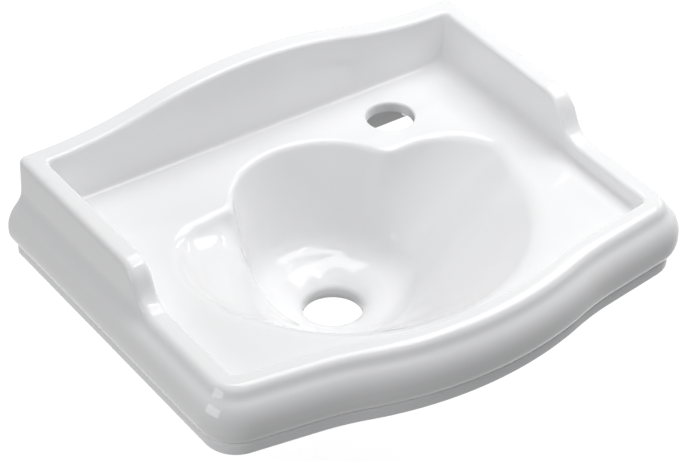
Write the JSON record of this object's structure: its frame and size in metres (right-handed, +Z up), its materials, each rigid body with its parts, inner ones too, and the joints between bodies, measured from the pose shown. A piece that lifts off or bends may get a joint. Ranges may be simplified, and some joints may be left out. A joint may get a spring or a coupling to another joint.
{
  "type": "wall-hung hand-rinse basin",
  "caption": "Small wall-hung hand-rinse basin with an arched upstand, moulded skirt, lobed bowl, soap hollow and side tap hole, on screwed wall fixings.",
  "frame": {"origin": "on the wall's face, midway between the axes of the two wall fixings", "axes": "+X to the basin's right as seen by a user, +Y into the wall, +Z up"},
  "size_m": [0.4008, 0.3693, 0.17],
  "materials": {
    "glaze": "gloss",
    "zinc_steel": "bright zinc",
    "nylon_white": "satin"
  },
  "bodies": {
    "root": {"basin_body": "glaze", "hanger_bolt_left": "zinc_steel", "fixing_bush_left": "nylon_white", "fixing_washer_left": "zinc_steel", "fixing_nut_left": "zinc_steel", "hanger_bolt_right": "zinc_steel", "fixing_bush_right": "nylon_white", "fixing_washer_right": "zinc_steel", "fixing_nut_right": "zinc_steel"}
  },
  "joints": []
}
